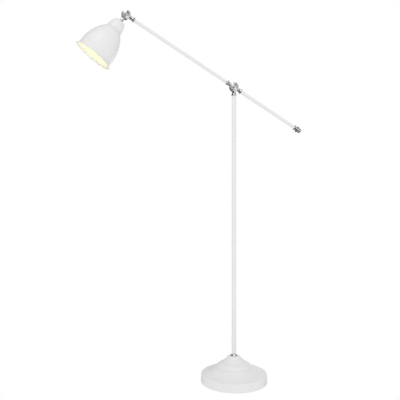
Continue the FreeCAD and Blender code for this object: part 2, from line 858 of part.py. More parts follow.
# ---------------------------------------------------------------- arm
def arm_collar(label, direction):
    """Trumpet collar over the joint between a knuckle stem and an arm tube."""
    def along(words):
        return "%d * (%s)" % (direction, words)

    body = new_body(label)
    bend = right("flare_bend") if direction > 0 else left("flare_bend")
    turned(body, [
        ("arm_bore_radius", along("stem_end")),
        ("collar_neck_radius", along("stem_end")),
        ("collar_neck_radius", along("collar_neck_end")),
        ("arm_flare_radius", along("collar_end - flare_lip"), bend),
        ("arm_flare_radius", along("collar_end")),
        ("arm_radius", along("collar_end")),
        ("arm_radius", along("arm_tube_start")),
        ("arm_bore_radius", along("arm_tube_start"))])
    place(body, turn=ARM_TURN)


def arm_tube(label, start, end):
    body = new_body(label)
    turned(body, [
        ("arm_bore_radius", start),
        ("arm_radius", start),
        ("arm_radius", end),
        ("arm_bore_radius", end)])
    place(body, turn=ARM_TURN)


def arm_wire():
    """Lead inside the front arm tube, between the two knuckles' spigots."""
    body = new_body("arm_wire")
    sketch = new_sketch(body, "XY_Plane", "arm_plug_end - wire_lead_in")
    circle(sketch, "0", "0", "inner_wire_radius")
    pad(body, sketch, "arm_length - arm_plug_end + wire_lead_in - swivel_bearing_end - wire_end_gap")
    place(body, turn=ARM_TURN)


def tail_collar():
    """Trumpet collar that closes the rear tube: a plug inside it takes the knob's stud."""
    body = new_body("tail_collar")
    turned(body, [
        ("knob_stud_radius", "-tail_plug_end"),
        ("knob_stud_radius", "-tail_length - tail_collar_length"),
        ("tail_collar_neck_radius", "-tail_length - tail_collar_length"),
        ("tail_collar_neck_radius", "-tail_length - tail_collar_length + tail_collar_lap"),
        ("arm_flare_radius", "-tail_length + tail_collar_lap - flare_lip", right("flare_bend")),
        ("arm_flare_radius", "-tail_length + tail_collar_lap"),
        ("arm_radius", "-tail_length + tail_collar_lap"),
        ("arm_radius", "-tail_length"),
        ("arm_bore_radius", "-tail_length"),
        ("arm_bore_radius", "-tail_plug_end")])
    place(body, turn=ARM_TURN)


def tail_knob():
    """End knob: a wide ring that slopes to a domed cap, and a stud that screws into the tail collar."""
    body = new_body("tail_knob")
    rise = "(knob_end - knob_edge - knob_edge_bend)"
    dome = "((knob_cap_radius - knob_edge_bend)^2 + %s^2) / (2 * %s)" % (rise, rise)
    turned(body, [
        ("0", "-tail_plug_end - knob_stud_gap"),
        ("knob_stud_radius", "-tail_plug_end - knob_stud_gap"),
        ("knob_stud_radius", "-tail_length - tail_collar_length"),
        ("knob_waist_radius", "-tail_length - tail_collar_length"),
        ("knob_waist_radius", "-knob_start"),
        ("knob_ring_radius - knob_edge_bend", "-knob_start"),
        ("knob_ring_radius", "-knob_start - knob_edge_bend", right("knob_edge_bend")),
        ("knob_ring_radius", "-knob_ring_end"),
        ("knob_cap_radius", "-knob_cap_start", left("knob_slope_bend")),
        ("knob_cap_radius", "-knob_edge"),
        ("knob_cap_radius - knob_edge_bend", "-knob_edge - knob_edge_bend", right("knob_edge_bend")),
        ("0", "-knob_end", right(dome))])
    place(body, turn=ARM_TURN)


# ---------------------------------------------------------------- shade
def shade_collar():
    """Bright flared collar between the head knuckle and the cap."""
    body = new_body("shade_collar")
    turned(body, [
        ("shade_stud_radius", "stem_end"),
        ("stem_radius", "stem_end"),
        ("shade_collar_neck_radius", "shade_collar_start"),
        ("shade_collar_radius", "cap_top - flare_lip", right("shade_collar_bend")),
        ("shade_collar_radius", "cap_top"),
        ("shade_stud_radius", "cap_top")])
    place(body, at_head=True, turn=SHADE_TURN)


def shade_cap():
    """Spun cup that covers the lampholder above the bell."""
    body = new_body("shade_cap")
    turned(body, [
        ("shade_stud_radius", "cap_top"),
        ("cap_shoulder_radius", "cap_top"),
        ("cap_side_radius", "cap_side_start", left("cap_shoulder_bend")),
        ("cap_rim_radius", "cap_rim", left("cap_side_bend")),
        ("cap_rim_radius - shade_wall", "cap_rim"),
        ("cap_side_radius - shade_wall", "cap_side_start", right("cap_side_bend - shade_wall")),
        ("cap_shoulder_radius", "cap_top + shade_wall", right("cap_shoulder_bend - shade_wall")),
        ("shade_stud_radius", "cap_top + shade_wall")])
    place(body, at_head=True, turn=SHADE_TURN)


def shade_bell():
    """Spun bell with a flange at its top and a rolled bead at its mouth."""
    body = new_body("shade_bell")
    turned(body, [
        ("holder_radius", "bell_top"),
        ("bell_top_radius", "bell_top"),
        ("bell_waist_radius", "bell_waist", left("bell_upper_bend")),
        ("bell_skirt_radius", "bell_hip", left("bell_lower_bend")),
        ("bell_skirt_radius", "bell_skirt"),
        ("bell_lip_radius", "bell_lip", right("bell_lip_bend")),
        ("bell_lip_radius - bell_bead_radius", "bell_lip + bell_bead_radius", left("bell_bead_radius")),
        ("bell_lip_radius - 2 * bell_bead_radius", "bell_lip", left("bell_bead_radius")),
        ("bell_skirt_radius - shade_wall", "bell_skirt", left("bell_lip_bend + shade_wall")),
        ("bell_skirt_radius - shade_wall", "bell_hip"),
        ("bell_waist_radius - shade_wall", "bell_waist + shade_wall / 4",
         right("bell_lower_bend - shade_wall")),
        ("bell_top_radius - shade_wall / 2", "bell_top + shade_wall", right("bell_upper_bend - shade_wall")),
        ("holder_radius", "bell_top + shade_wall")])
    place(body, at_head=True, turn=SHADE_TURN)


def lampholder_body():
    """Lampholder: a cup that screws onto the stud, and a skirt whose flange the bell lies on."""
    body = new_body("lampholder_body")
    inner = "holder_radius - holder_wall"
    turned(body, [
        ("shade_stud_radius", "holder_top"),
        ("holder_top_radius", "holder_top"),
        ("holder_radius", "holder_shoulder", left("holder_shoulder_bend")),
        ("holder_radius", "holder_flange"),
        ("holder_flange_radius", "holder_flange"),
        ("holder_flange_radius", "bell_top"),
        ("holder_radius", "bell_top"),
        ("holder_radius", "holder_end"),
        (inner, "holder_end"),
        (inner, "holder_shoulder"),
        ("holder_top_radius - holder_wall", "holder_top + holder_crown"),
        ("shade_stud_radius", "holder_top + holder_crown")])
    place(body, at_head=True, turn=SHADE_TURN)


def shade_ring():
    """Threaded ring that clamps the bell's flange against the lampholder."""
    body = new_body("shade_ring")
    top = "bell_top + shade_wall"
    turned(body, [
        ("holder_radius", top),
        ("ring_radius", top),
        ("ring_radius", top + " + ring_flange_thickness"),
        ("holder_radius + ring_skirt_wall", top + " + ring_flange_thickness + ring_slope"),
        ("holder_radius + ring_skirt_wall", top + " + ring_height"),
        ("holder_radius", top + " + ring_height")])
    place(body, at_head=True, turn=SHADE_TURN)


def lampholder_insulator():
    """Porcelain disc that carries the contacts."""
    body = new_body("lampholder_insulator")
    turned(body, [
        ("0", "insulator_top"),
        ("holder_radius - holder_wall", "insulator_top"),
        ("holder_radius - holder_wall", "insulator_bottom"),
        ("0", "insulator_bottom")])
    place(body, at_head=True, turn=SHADE_TURN)


def lampholder_contact():
    """Brass centre contact."""
    body = new_body("lampholder_contact")
    sketch = new_sketch(body, "XY_Plane", "insulator_bottom")
    circle(sketch, "0", "0", "contact_radius")
    pad(body, sketch, "contact_bottom - insulator_bottom")
    place(body, at_head=True, turn=SHADE_TURN)


def lampholder_sleeve():
    """Threaded brass sleeve that takes the bulb's screw cap."""
    body = new_body("lampholder_sleeve")
    turned(body, [
        ("socket_bore_radius", "insulator_bottom"),
        ("holder_radius - holder_wall", "insulator_bottom"),
        ("holder_radius - holder_wall", "insulator_bottom + sleeve_flange_thickness"),
        ("socket_bore_radius + socket_sleeve_wall", "insulator_bottom + sleeve_flange_thickness"),
        ("socket_bore_radius + socket_sleeve_wall", "bulb_cap_end - sleeve_end_gap"),
        ("socket_bore_radius", "bulb_cap_end - sleeve_end_gap")])
    place(body, at_head=True, turn=SHADE_TURN)


def bulb_cap():
    """The bulb's nickelled screw cap: a thin cup with its contact button."""
    body = new_body("bulb_cap")
    floor = "bulb_tip + bulb_tip_height"
    turned(body, [
        ("0", "bulb_tip"),
        ("bulb_tip_radius", "bulb_tip"),
        ("bulb_tip_radius", floor),
        ("bulb_cap_radius - bulb_cap_slope", floor),
        ("bulb_cap_radius", floor + " + bulb_cap_slope"),
        ("bulb_cap_radius", "bulb_cap_end"),
        ("bulb_cap_radius - bulb_cap_wall", "bulb_cap_end"),
        ("bulb_cap_radius - bulb_cap_wall", floor + " + bulb_cap_slope + bulb_cap_wall / 2"),
        ("bulb_cap_radius - bulb_cap_slope", floor + " + bulb_cap_wall"),
        ("0", floor + " + bulb_cap_wall")])
    place(body, at_head=True, turn=SHADE_TURN)


def bulb_glass():
    """Frosted envelope, open at the cap: neck, cheeks and a round globe."""
    body = new_body("bulb_glass")
    turned(body, [
        ("bulb_neck_radius - glass_wall", "bulb_cap_end", left("bulb_neck_bend + glass_wall")),
        ("bulb_neck_radius", "bulb_cap_end"),
        ("bulb_cheek_radius", "bulb_cheek", right("bulb_neck_bend")),
        ("bulb_globe_radius", "bulb_globe_centre", left("bulb_cheek_bend")),
        ("0", "bulb_globe_centre + bulb_globe_radius", left("bulb_globe_radius")),
        ("0", "bulb_globe_centre + bulb_globe_radius - glass_wall"),
        ("bulb_globe_radius - glass_wall", "bulb_globe_centre", right("bulb_globe_radius - glass_wall")),
        ("bulb_cheek_radius - glass_wall", "bulb_cheek", right("bulb_cheek_bend - glass_wall"))])
    place(body, at_head=True, turn=SHADE_TURN)


def head_wire():
    """Lead from the head knuckle's chamber down into the lampholder."""
    body = new_body("head_wire")
    sketch = new_sketch(body, "XY_Plane", "stem_end")
    circle(sketch, "0", "0", "inner_wire_radius")
    pad(body, sketch, "insulator_top - stem_end")
    place(body, at_head=True, turn=SHADE_TURN)


# ---------------------------------------------------------------- build the lamp
base_felt()
base_plate()
base_plate_screws()
base_ballast()
base_cover()
base_lock_washer()
base_lock_nut()
cable_gland()

pole_nipple()
pole_foot_bush()
pole_foot_ferrule()
pole_tube()
pole_wire()
swivel_collar("pole_top_ferrule", "pole", "pole_neck_radius", "pole_flare_radius", "collar_neck_end",
              "pole_collar_end", at_head=False)

pole_knuckle()
swivel_clip("pole_swivel_clip", at_head=False)

arm_knuckle()
friction_washer("arm_friction_washer", at_head=False)
arm_collar("arm_collar_front", 1)
arm_collar("arm_collar_rear", -1)
arm_tube("arm_tube_front", "arm_tube_start", "arm_length - arm_tube_start")
arm_tube("arm_tube_rear", "-tail_length", "-arm_tube_start")
arm_wire()
swivel_collar("arm_end_collar", "arm", "collar_neck_radius", "arm_flare_radius", "head_collar_neck_end",
              "head_collar_end", at_head=True)
tail_collar()
tail_knob()

wing_screw("arm_wing_screw", at_head=False, turn="arm_wing_angle")
spring_washer("arm_spring_washer", at_head=False, turn="arm_wing_angle")
wing_screw("head_wing_screw", at_head=True, turn="head_wing_angle")
spring_washer("head_spring_washer", at_head=True, turn="head_wing_angle")

head_knuckle_arm_half()
friction_washer("head_friction_washer", at_head=True)
swivel_clip("head_swivel_clip", at_head=True)

head_knuckle_shade_half()
shade_collar()
shade_cap()
shade_bell()
shade_ring()
lampholder_body()
lampholder_insulator()
lampholder_contact()
lampholder_sleeve()
bulb_cap()
bulb_glass()
head_wire()

# ---------------------------------------------------------------- check and write
doc.recompute()
bodies = [item for item in doc.Objects if item.TypeId == "PartDesign::Body"]
for item in doc.Objects:
    faults = {"Invalid", "Error"} & set(item.State)
    if faults:
        raise RuntimeError("%s is %s" % (item.Name, ", ".join(sorted(faults))))
for body in bodies:
    if body.Shape.isNull() or not body.Shape.isValid():
        raise RuntimeError("%s has no valid shape" % body.Label)

os.makedirs("parts", exist_ok=True)
for body in bodies:
    body.Shape.exportStep("parts/%s.step" % body.Label)
    print("%-26s %2d solid  %11.1f mm3" % (body.Label, len(body.Shape.Solids), body.Shape.Volume))
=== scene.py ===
"""Adjustable arm floor lamp: its looks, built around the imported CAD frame. Lengths are in metres."""

import json
import math

import bmesh
import bpy
from mathutils import Matrix, Vector


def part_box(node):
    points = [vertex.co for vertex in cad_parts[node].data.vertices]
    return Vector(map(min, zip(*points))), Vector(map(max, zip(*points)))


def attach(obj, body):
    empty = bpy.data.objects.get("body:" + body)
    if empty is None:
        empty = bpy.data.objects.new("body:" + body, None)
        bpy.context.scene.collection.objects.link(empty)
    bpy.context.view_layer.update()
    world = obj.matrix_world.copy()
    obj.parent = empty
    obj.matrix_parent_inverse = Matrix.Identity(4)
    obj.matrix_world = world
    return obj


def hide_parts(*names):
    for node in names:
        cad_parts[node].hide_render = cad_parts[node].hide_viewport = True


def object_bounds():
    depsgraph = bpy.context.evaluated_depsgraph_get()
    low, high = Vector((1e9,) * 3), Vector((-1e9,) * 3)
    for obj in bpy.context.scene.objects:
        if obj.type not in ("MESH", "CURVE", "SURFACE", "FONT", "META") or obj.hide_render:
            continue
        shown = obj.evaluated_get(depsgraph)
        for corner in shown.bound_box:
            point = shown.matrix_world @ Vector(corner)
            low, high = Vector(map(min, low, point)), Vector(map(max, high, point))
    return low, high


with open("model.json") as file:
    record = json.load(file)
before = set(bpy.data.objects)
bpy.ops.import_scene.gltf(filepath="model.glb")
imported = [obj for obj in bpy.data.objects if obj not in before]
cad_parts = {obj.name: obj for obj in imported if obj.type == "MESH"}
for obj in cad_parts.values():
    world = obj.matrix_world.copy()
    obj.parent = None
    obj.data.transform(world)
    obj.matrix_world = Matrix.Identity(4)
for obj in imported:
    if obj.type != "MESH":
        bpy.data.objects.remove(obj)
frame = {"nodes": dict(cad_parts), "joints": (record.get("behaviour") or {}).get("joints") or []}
cad_low, cad_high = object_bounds()

MM = 0.001

# ------------------------------------------------------------------ where things are, read from the frame

JOINTS = {joint["name"]: joint for joint in frame["joints"]}
CENTRE_PIVOT = Vector(JOINTS["arm_tilt"]["pos_m"])
HEAD_PIVOT = Vector(JOINTS["head_tilt"]["pos_m"])
CONTACT_LOW, CONTACT_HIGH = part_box("lampholder_contact")
TO_MOUTH = ((CONTACT_LOW + CONTACT_HIGH) / 2 - HEAD_PIVOT).normalized()
ARM_SCREW_TURN = -62
HEAD_SCREW_TURN = -35


# ------------------------------------------------------------------ materials


class Finish:
    """A procedural material: one Principled shader, fed by noise patterns measured in metres."""

    def __init__(self, name, colour, roughness, **sockets):
        self.material = bpy.data.materials.new(name)
        self.material.use_nodes = True
        self.nodes = self.material.node_tree.nodes
        self.links = self.material.node_tree.links
        self.shader = self.nodes["Principled BSDF"]
        self.place = self.nodes.new("ShaderNodeTexCoord").outputs["Object"]
        self.shader.inputs["Base Color"].default_value = (*colour, 1)
        self.shader.inputs["Roughness"].default_value = roughness
        for socket, value in sockets.items():
            self.shader.inputs[socket.replace("_", " ")].default_value = value

    def grain(self, spacing, detail=2.0, stretch=(1, 1, 1)):
        """Cloudy noise whose patches are about `spacing` across, drawn out along the stretched axes."""
        mapping = self.nodes.new("ShaderNodeMapping")
        mapping.inputs["Scale"].default_value = [1 / part for part in stretch]
        self.links.new(self.place, mapping.inputs["Vector"])
        noise = self.nodes.new("ShaderNodeTexNoise")
        noise.inputs["Scale"].default_value = 1 / spacing
        noise.inputs["Detail"].default_value = detail
        self.links.new(mapping.outputs["Vector"], noise.inputs["Vector"])
        return noise.outputs["Fac"]

    def cells(self, spacing, feature="F1"):
        """A pattern of cells about `spacing` across: the distance from each cell's middle."""
        voronoi = self.nodes.new("ShaderNodeTexVoronoi")
        voronoi.feature = feature
        voronoi.inputs["Scale"].default_value = 1 / spacing
        self.links.new(self.place, voronoi.inputs["Vector"])
        return voronoi.outputs["Distance"]

    def span(self, value, low, high, to_low, to_high):
        """The value's stretch from low to high, laid out between to_low and to_high."""
        spread = self.nodes.new("ShaderNodeMapRange")
        self.links.new(value, spread.inputs["Value"])
        for socket, number in zip(("From Min", "From Max", "To Min", "To Max"), (low, high, to_low, to_high)):
            spread.inputs[socket].default_value = number
        return spread.outputs["Result"]

    def combine(self, first, second, operation="MULTIPLY"):
        """The two values put together by one arithmetic step."""
        maths = self.nodes.new("ShaderNodeMath")
        maths.operation = operation
        self.links.new(first, maths.inputs[0])
        self.links.new(second, maths.inputs[1])
        return maths.outputs["Value"]

    def tint(self, amount, from_colour, to_colour, socket="Base Color"):
        """Shades a colour socket from one colour to the other as the amount goes from zero to one."""
        mix = self.nodes.new("ShaderNodeMix")
        mix.data_type = "RGBA"
        mix.inputs["A"].default_value = (*from_colour, 1)
        mix.inputs["B"].default_value = (*to_colour, 1)
        self.links.new(amount, mix.inputs["Factor"])
        self.links.new(mix.outputs["Result"], self.shader.inputs[socket])

    def vary(self, socket, value, low, high):
        """Lets a pattern move one of the shader's numbers between low and high."""
        self.links.new(self.span(value, 0.3, 0.7, low, high), self.shader.inputs[socket])

    def relief(self, *layers):
        """Raises the surface by several patterns: each layer is (pattern, depth in metres)."""
        normal = None
        for pattern, depth in layers:
            bump = self.nodes.new("ShaderNodeBump")
            bump.inputs["Distance"].default_value = depth
            self.links.new(pattern, bump.inputs["Height"])
            if normal is not None:
                self.links.new(normal, bump.inputs["Normal"])
            normal = bump.outputs["Normal"]
        self.links.new(normal, self.shader.inputs["Normal"])


def white_paint():
    """Satin white powder coat: orange peel, fine grit, and a slight yellowing in patches."""
    paint = Finish("white_paint", (0.685, 0.685, 0.685), 0.5, Coat_Weight=0.05, Coat_Roughness=0.3)
    paint.tint(paint.grain(70 * MM, 3), (0.69, 0.691, 0.69), (0.675, 0.674, 0.669))
    paint.vary("Roughness", paint.grain(9 * MM, 4), 0.44, 0.56)
    paint.relief((paint.grain(1.8 * MM, 1), 0.006 * MM), (paint.grain(0.35 * MM, 2), 0.0008 * MM))
    return paint.material


def chrome():
    """Bright chrome plate with hairline polishing marks and faint fingerprints."""
    plate = Finish("chrome", (0.78, 0.785, 0.8), 0.07, Metallic=1.0)
    smears = plate.grain(6 * MM, 5)
    hairlines = plate.grain(0.2 * MM, 3, stretch=(1, 1, 12))
    plate.tint(smears, (0.8, 0.805, 0.82), (0.74, 0.745, 0.755))
    plate.vary("Roughness", plate.combine(smears, hairlines), 0.04, 0.16)
    plate.relief((hairlines, 0.0005 * MM), (plate.grain(4 * MM, 1), 0.006 * MM))
    return plate.material


def plated_steel():
    """Zinc-plated steel: a dull silver with brushed lines and a mottled bloom."""
    steel = Finish("plated_steel", (0.56, 0.57, 0.58), 0.36, Metallic=1.0)
    bloom = steel.grain(5 * MM, 4)
    brushed = steel.grain(0.3 * MM, 2, stretch=(25, 1, 1))
    steel.tint(bloom, (0.6, 0.61, 0.63), (0.48, 0.48, 0.46))
    steel.vary("Roughness", bloom, 0.28, 0.48)
    steel.relief((brushed, 0.01 * MM))
    return steel.material


def cast_iron():
    """Blackened cast iron with a sandy skin and a trace of rust."""
    iron = Finish("cast_iron", (0.05, 0.05, 0.052), 0.7, Metallic=0.3)
    rust = iron.span(iron.grain(14 * MM, 6), 0.56, 0.72, 0, 1)
    iron.tint(rust, (0.045, 0.045, 0.048), (0.12, 0.065, 0.04))
    iron.vary("Roughness", iron.grain(3 * MM, 3), 0.6, 0.85)
    iron.relief((iron.grain(1.2 * MM, 4), 0.18 * MM), (iron.cells(2.2 * MM), 0.06 * MM))
    return iron.material


def felt():
    """Pressed grey wool felt: matted fibres and lint."""
    wool = Finish("felt", (0.06, 0.06, 0.064), 0.95, Sheen_Weight=0.5, Sheen_Roughness=0.5)
    fibres = wool.grain(0.5 * MM, 5, stretch=(6, 1, 1))
    crossed = wool.grain(0.5 * MM, 5, stretch=(1, 6, 1))
    lint = wool.combine(fibres, crossed, "MAXIMUM")
    wool.tint(wool.span(lint, 0.45, 0.75, 0, 1), (0.055, 0.055, 0.058), (0.095, 0.095, 0.099))
    wool.relief((lint, 0.08 * MM))
    return wool.material


def gland_rubber():
    """Off-white moulded rubber with a fine matt mould grain."""
    rubber = Finish("gland_rubber", (0.6, 0.6, 0.58), 0.6)
    rubber.tint(rubber.grain(6 * MM, 4), (0.64, 0.64, 0.62), (0.55, 0.55, 0.53))
    rubber.vary("Roughness", rubber.grain(1.5 * MM, 3), 0.5, 0.7)
    rubber.relief((rubber.grain(0.4 * MM, 2), 0.02 * MM))
    return rubber.material


def wire_sheath():
    """Soft white plastic sheath, a little scuffed."""
    sheath = Finish("wire_sheath", (0.7, 0.7, 0.68), 0.45)
    sheath.tint(sheath.grain(5 * MM, 4), (0.72, 0.72, 0.7), (0.62, 0.62, 0.6))
    sheath.vary("Roughness", sheath.grain(2 * MM, 3), 0.38, 0.58)
    sheath.relief((sheath.grain(0.6 * MM, 2), 0.01 * MM))
    return sheath.material


def fibre():
    """Dark vulcanised fibre with short pressed strands."""
    strands = Finish("fibre", (0.05, 0.04, 0.035), 0.75)
    pressed = strands.grain(0.3 * MM, 4, stretch=(1, 1, 8))
    strands.tint(pressed, (0.035, 0.03, 0.026), (0.09, 0.075, 0.06))
    strands.relief((pressed, 0.03 * MM))
    return strands.material


def holder_plastic():
    """White heat-proof plastic with a faint moulded texture."""
    plastic = Finish("holder_plastic", (0.7, 0.69, 0.66), 0.35)
    plastic.tint(plastic.grain(12 * MM, 3), (0.72, 0.71, 0.68), (0.66, 0.65, 0.61))
    plastic.vary("Roughness", plastic.grain(3 * MM, 3), 0.3, 0.44)
    plastic.relief((plastic.grain(0.8 * MM, 2), 0.01 * MM))
    return plastic.material


def porcelain():
    """Glazed porcelain: a glossy coat over a slightly speckled body."""
    glaze = Finish("porcelain", (0.76, 0.75, 0.72), 0.25, Coat_Weight=0.6, Coat_Roughness=0.05)
    glaze.tint(glaze.span(glaze.grain(1.2 * MM, 5), 0.62, 0.72, 0, 1), (0.76, 0.75, 0.72), (0.6, 0.56, 0.5))
    glaze.relief((glaze.grain(3 * MM, 2), 0.03 * MM))
    return glaze.material


def brass():
    """Rolled brass, warm and slightly tarnished."""
    metal = Finish("brass", (0.72, 0.52, 0.24), 0.3, Metallic=1.0)
    tarnish = metal.grain(4 * MM, 5)
    metal.tint(tarnish, (0.78, 0.58, 0.28), (0.5, 0.34, 0.15))
    metal.vary("Roughness", tarnish, 0.22, 0.42)
    metal.relief((metal.grain(0.3 * MM, 2, stretch=(1, 12, 1)), 0.005 * MM))
    return metal.material


def bulb_nickel():
    """Thin rolled nickel, softly polished."""
    cap = Finish("bulb_nickel", (0.64, 0.62, 0.58), 0.25, Metallic=1.0)
    cap.tint(cap.grain(3 * MM, 4), (0.68, 0.66, 0.62), (0.54, 0.52, 0.48))
    cap.vary("Roughness", cap.grain(2 * MM, 3), 0.2, 0.36)
    cap.relief((cap.grain(0.4 * MM, 2), 0.004 * MM))
    return cap.material


def bulb_frost():
    """The lit bulb's frosted glass: a warm glow, a little uneven, through a fine etched skin."""
    glass = Finish("bulb_frost", (0.95, 0.93, 0.88), 0.5, Emission_Strength=1.6)
    glow = glass.grain(18 * MM, 2)
    glass.tint(glow, (1.0, 0.9, 0.42), (1.0, 0.95, 0.52), "Emission Color")
    glass.vary("Roughness", glass.grain(2 * MM, 3), 0.45, 0.6)
    glass.relief((glass.grain(0.3 * MM, 2), 0.01 * MM))
    glass.material.cycles.emission_sampling = "NONE"
    return glass.material


def floor_white():
    """Plain pale studio floor, just as white to the eye as the surround, so that no horizon shows."""
    paper = Finish("floor_white", (0.7, 0.7, 0.7), 0.9, Emission_Color=(1, 1, 1, 1), Emission_Strength=0.45)
    paper.relief((paper.grain(3 * MM, 2), 0.02 * MM))
    seen = paper.nodes.new("ShaderNodeMixShader")
    white = paper.nodes.new("ShaderNodeEmission")
    paper.links.new(paper.nodes.new("ShaderNodeLightPath").outputs["Is Camera Ray"], seen.inputs["Fac"])
    paper.links.new(paper.shader.outputs["BSDF"], seen.inputs[1])
    paper.links.new(white.outputs["Emission"], seen.inputs[2])
    paper.links.new(seen.outputs["Shader"], paper.nodes["Material Output"].inputs["Surface"])
    paper.material.cycles.emission_sampling = "NONE"
    return paper.material


FINISHES = {
    make.__name__: make()
    for make in (
        white_paint,
        chrome,
        plated_steel,
        cast_iron,
        felt,
        gland_rubber,
        wire_sheath,
        fibre,
        holder_plastic,
        porcelain,
        brass,
        bulb_nickel,
        bulb_frost,
    )
}


def dress_cad_nodes():
    """Gives every CAD node the finish that its material slot names."""
    for node in frame["nodes"].values():
        for material_slot in node.material_slots:
            finish = FINISHES[material_slot.material.name.split(".")[0]]
            material_slot.link = "OBJECT"
            material_slot.material = finish


# ------------------------------------------------------------------ shaping tools
# Outlines are lists of (radius, height) in millimetres.

AROUND = 128
LARGE_AROUND = 192
CAP_AROUND = 160
SMALL_AROUND = 72
SHARP_TURN = math.radians(20)
LONGEST_CUT = 0.45
ON_AXIS = 0.001
FACE_AREA_WEIGHT = 90


def ring_points(centre, radius, from_degrees, to_degrees, parts=12):
    """Points on a circle, from one bearing to another."""
    span = to_degrees - from_degrees
    bearings = [math.radians(from_degrees + span * k / parts) for k in range(parts + 1)]
    return [(centre[0] + radius * math.cos(a), centre[1] + radius * math.sin(a)) for a in bearings]


def bow(start, end, radius, parts=16):
    """Points of the arc from start to end, without start. It turns left, or right for a radius under 0."""
    start, end = Vector(start), Vector(end)
    chord = end - start
    across = Vector((-chord.y, chord.x)).normalized()
    reach = math.sqrt(radius**2 - chord.length_squared / 4)
    centre = (start + end) / 2 + across * math.copysign(reach, radius)
    turn = math.copysign(2 * math.asin(chord.length / (2 * abs(radius))), radius)
    spoke = start - centre
    return [tuple(centre + Matrix.Rotation(turn * k / parts, 2) @ spoke) for k in range(1, parts + 1)]


def softened(outline, radius, closed=True, steps=4):
    """The outline with each sharp corner rounded off."""
    soft = []
    last = len(outline) - 1
    for index, point in enumerate(outline):
        here = Vector(point)
        if not closed and index in (0, last):
            soft.append(tuple(here))
            continue
        back = Vector(outline[index - 1]) - here
        ahead = Vector(outline[(index + 1) % len(outline)]) - here
        turn = math.pi - back.angle(ahead)
        if turn < SHARP_TURN:
            soft.append(tuple(here))
            continue
        reach = min(radius * math.tan(turn / 2), LONGEST_CUT * back.length, LONGEST_CUT * ahead.length)
        leave = here + back.normalized() * reach
        arrive = here + ahead.normalized() * reach
        for step in range(steps + 1):
            part = step / steps
            soft.append(tuple(leave.lerp(here, part).lerp(here.lerp(arrive, part), part)))
    return soft


def inset(line, wall):
    """The line moved to its left by the wall's thickness, and drawn backwards."""
    moved = []
    for index, point in enumerate(line):
        before = Vector(line[max(index - 1, 0)])
        after = Vector(line[min(index + 1, len(line) - 1)])
        way = (after - before).normalized()
        moved.append(tuple(Vector(point) + Vector((-way.y, way.x)) * wall))
    return moved[::-1]


def facing(origin, direction):
    """A placement with its Z axis along a direction, through an origin."""
    return Matrix.Translation(origin) @ Vector(direction).to_track_quat("Z", "Y").to_matrix().to_4x4()


def in_scene(name, mesh):
    """A new object in the scene that shows the mesh."""
    thing = bpy.data.objects.new(name, mesh)
    bpy.context.scene.collection.objects.link(thing)
    return thing


def skinned(name, rings, at, loop=False):
    """An object skinned over rings of points in millimetres. A ring of one point closes an end."""
    shape = bmesh.new()
    drawn = [[shape.verts.new(point) for point in ring] for ring in rings]
    count = max(len(ring) for ring in drawn)
    drawn = [ring * count if len(ring) == 1 else ring for ring in drawn]
    for ring, following in zip(drawn, drawn[1:] + drawn[:1] if loop else drawn[1:]):
        for k in range(count):
            after = (k + 1) % count
            corners = dict.fromkeys((ring[k], ring[after], following[after], following[k]))
            if len(corners) > 2:
                shape.faces.new(corners).smooth = True
    bmesh.ops.recalc_face_normals(shape, faces=shape.faces)
    shape.transform(at @ Matrix.Scale(MM, 4))
    mesh = bpy.data.meshes.new(name)
    shape.to_mesh(mesh)
    shape.free()
    return in_scene(name, mesh)


def turned(name, outline, at, around=AROUND, ripple=None):
    """An object turned from a closed outline. ripple(bearing, radius, height) gives any extra radius."""
    rings = []
    for radius, height in outline:
        if radius < ON_AXIS:
            rings.append([(0, 0, height)])
            continue
        ring = []
        for k in range(around):
            bearing = 2 * math.pi * k / around
            wide = radius + (ripple(bearing, radius, height) if ripple else 0)
            ring.append((wide * math.cos(bearing), wide * math.sin(bearing), height))
        rings.append(ring)
    return skinned(name, rings, at, loop=True)


def combined(base, tool, operation):
    """Adds the tool's solid to the base's, or cuts it away, and throws the tool away."""
    step = base.modifiers.new("combine", "BOOLEAN")
    step.object = tool
    step.operation = operation
    step.solver = "EXACT"
    result = bpy.data.meshes.new_from_object(base.evaluated_get(bpy.context.evaluated_depsgraph_get()))
    base.modifiers.clear()
    base.data = result
    bpy.data.objects.remove(tool)


def finish_piece(thing, body, slot, *nodes):
    """The piece gets its finish, rides on its body and stands for the CAD nodes."""
    thing.data.materials.clear()
    thing.data.materials.append(FINISHES[slot])
    even = thing.modifiers.new("even_shading", "WEIGHTED_NORMAL")
    even.weight = FACE_AREA_WEIGHT
    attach(thing, body)
    if nodes:
        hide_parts(*nodes)


def smooth_step(value, low, high):
    """Zero up to low and one from high on, with a smooth rise between them."""
    part = min(max((value - low) / (high - low), 0), 1)
    return part * part * (3 - 2 * part)


# ------------------------------------------------------------------ the pieces that are shaped here

STAND = Matrix.Identity(4)
SHADE = facing(HEAD_PIVOT, TO_MOUTH)


